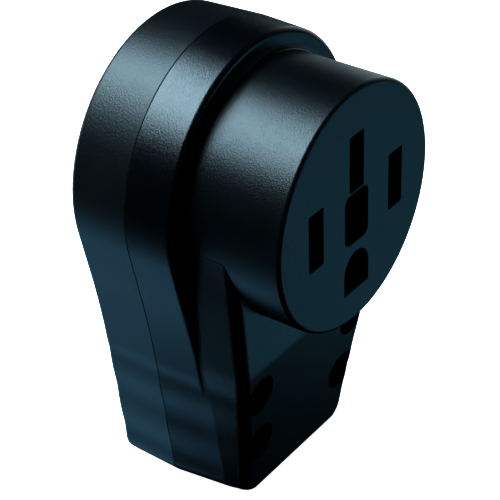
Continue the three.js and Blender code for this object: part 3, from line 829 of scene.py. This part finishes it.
zinc = metal("zinc", (0.50, 0.51, 0.52), 0.3, (0.72, 0.73, 0.74), 2200)
dark_zinc = metal("dark_zinc", (0.06, 0.062, 0.066), 0.36, (0.34, 0.34, 0.35), 2200)


def fitted(obj, made, body, node, slot):
    """A fine solid that takes the place of its CAD node."""
    obj.data.materials.clear()
    obj.data.materials.append(made)
    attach(obj, body)
    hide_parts(node)


fitted(front_shell, case_plastic, "housing", "front_housing", "front_case")
fitted(rear_shell, cover_plastic, "rear_cover", "rear_cover", "rear_case")
fitted(receptacle, face_plastic, "housing", "receptacle_shell", "receptacle")
fitted(carrier, face_plastic, "housing", "contact_carrier", "receptacle")
fitted(retainer, retainer_plastic, "housing", "contact_retainer", "retainer")
fitted(clamp, clamp_plastic, "cord_clamp", "cord_clamp", "clamp_plastic")
fitted(grommet, rubber, "housing", "cable_grommet", "grommet_rubber")
TERMINAL_LOOKS = {"hot_left": (screw_brass, "brass_screw"), "hot_right": (screw_brass, "brass_screw"),
                  "neutral": (nickel, "silver_screw"), "ground": (green_dye, "green_screw")}
for terminal, obj in terminal_screws.items():
    made, slot = TERMINAL_LOOKS[terminal]
    fitted(obj, made, terminal + "_terminal_screw", terminal + "_terminal_screw", slot)
for name, obj in case_screws.items():
    fitted(obj, dark_zinc, "case_screw_" + name, "case_screw_" + name, "black_screw")
for name, obj in retainer_screws.items():
    fitted(obj, zinc, "housing", name, "plated_steel")
for side, obj in clamp_screws.items():
    fitted(obj, zinc, "clamp_screw_" + side, "clamp_screw_" + side, "plated_steel")

for node in CONTACTS + tuple(t + "_pressure_plate" for t in TERMINALS):
    obj = bpy.data.objects[node]
    for slot in obj.material_slots:
        slot.material = zinc if node.endswith("plate") else brass
    bevel = obj.modifiers.new("edge", "BEVEL")
    bevel.limit_method = "ANGLE"
    bevel.angle_limit = math.radians(35)
    bevel.width = 0.15 * MM
    bevel.segments = 2

# ---------------------------------------------------------------- floor, light and camera

def make_floor():
    size = 3
    mesh = bpy.data.meshes.new("floor")
    corners = [(-size, -size, 0), (size, -size, 0), (size, size, 0), (-size, size, 0)]
    mesh.from_pydata(corners, [], [(0, 1, 2, 3)])
    floor = bpy.data.objects.new("floor", mesh)
    floor.location.z = -0.0002
    bpy.context.scene.collection.objects.link(floor)
    made, _, _, shader = material("floor")
    shader.inputs["Base Color"].default_value = (0.8, 0.8, 0.8, 1)
    shader.inputs["Roughness"].default_value = 1
    shader.inputs["Emission Color"].default_value = (1, 1, 1, 1)
    shader.inputs["Emission Strength"].default_value = 1
    mesh.materials.append(made)
    floor.visible_glossy = False
    floor.visible_diffuse = False
    floor.visible_shadow = False


make_floor()

world = bpy.data.worlds.new("studio")
world.use_nodes = True
world.node_tree.nodes["Background"].inputs["Color"].default_value = (1, 1, 1, 1)
world.node_tree.nodes["Background"].inputs["Strength"].default_value = 1
world.cycles_visibility.diffuse = False
world.cycles_visibility.glossy = False
bpy.context.scene.world = world

AIM = place(0, 20, -15)


def softbox(name, direction, distance, width, height, power, colour):
    data = bpy.data.lights.new(name, "AREA")
    data.shape = "RECTANGLE"
    data.size = width
    data.size_y = height
    data.energy = power
    data.color = colour
    light = bpy.data.objects.new(name, data)
    light.location = AIM + Vector(direction).normalized() * distance
    light.rotation_euler = (light.location - AIM).to_track_quat("Z", "Y").to_euler()
    bpy.context.scene.collection.objects.link(light)


softbox("key", (-0.31, 0.50, 0.81), 0.6, 0.62, 0.32, 10.0, (0.66, 0.89, 1.0))
softbox("left_floor", (-0.31, 0.66, -0.76), 0.35, 0.2, 0.2, 0.25, (0.30, 0.70, 1.0))
softbox("front_floor", (0.66, -0.58, -0.47), 0.5, 0.3, 0.3, 0.36, (0.26, 0.74, 1.0))
softbox("front_right", (0.5, -0.85, 0.1), 0.6, 0.3, 0.3, 0.7, (0.25, 0.85, 1.0))
softbox("right_fill", (0.97, 0.15, 0.0), 0.8, 0.6, 0.6, 1.6, (0.80, 0.94, 1.0))
softbox("back_fill", (0.0, 0.97, -0.1), 0.8, 0.6, 0.6, 3.5, (0.80, 0.94, 1.0))

CAMERA_AZIMUTH = math.radians(-52.89)
CAMERA_ELEVATION = math.radians(33.60)
CAMERA_ROLL = math.radians(-1.965)
CAMERA_DISTANCE = 0.3645
CAMERA_RIGHT = -0.02131
CAMERA_UP = -0.00836
CAMERA_LENS = 131.32


def make_camera():
    back = Vector((math.sin(CAMERA_AZIMUTH) * math.cos(CAMERA_ELEVATION),
                   -math.cos(CAMERA_AZIMUTH) * math.cos(CAMERA_ELEVATION), math.sin(CAMERA_ELEVATION)))
    level = Vector((0, 0, 1)).cross(back).normalized()
    upright = back.cross(level)
    right = level * math.cos(CAMERA_ROLL) + upright * math.sin(CAMERA_ROLL)
    up = upright * math.cos(CAMERA_ROLL) - level * math.sin(CAMERA_ROLL)
    eye = place(0, 0, 0) + right * CAMERA_RIGHT + up * CAMERA_UP + back * CAMERA_DISTANCE
    data = bpy.data.cameras.new("camera")
    data.lens = CAMERA_LENS
    data.sensor_width = 36
    data.clip_start = 0.01
    camera = bpy.data.objects.new("camera", data)
    camera.matrix_world = Matrix.Translation(eye) @ Matrix((right, up, back)).transposed().to_4x4()
    bpy.context.scene.collection.objects.link(camera)
    bpy.context.scene.camera = camera


make_camera()
bpy.context.scene.view_settings.view_transform = "Standard"
bpy.context.scene.view_settings.gamma = 0.67
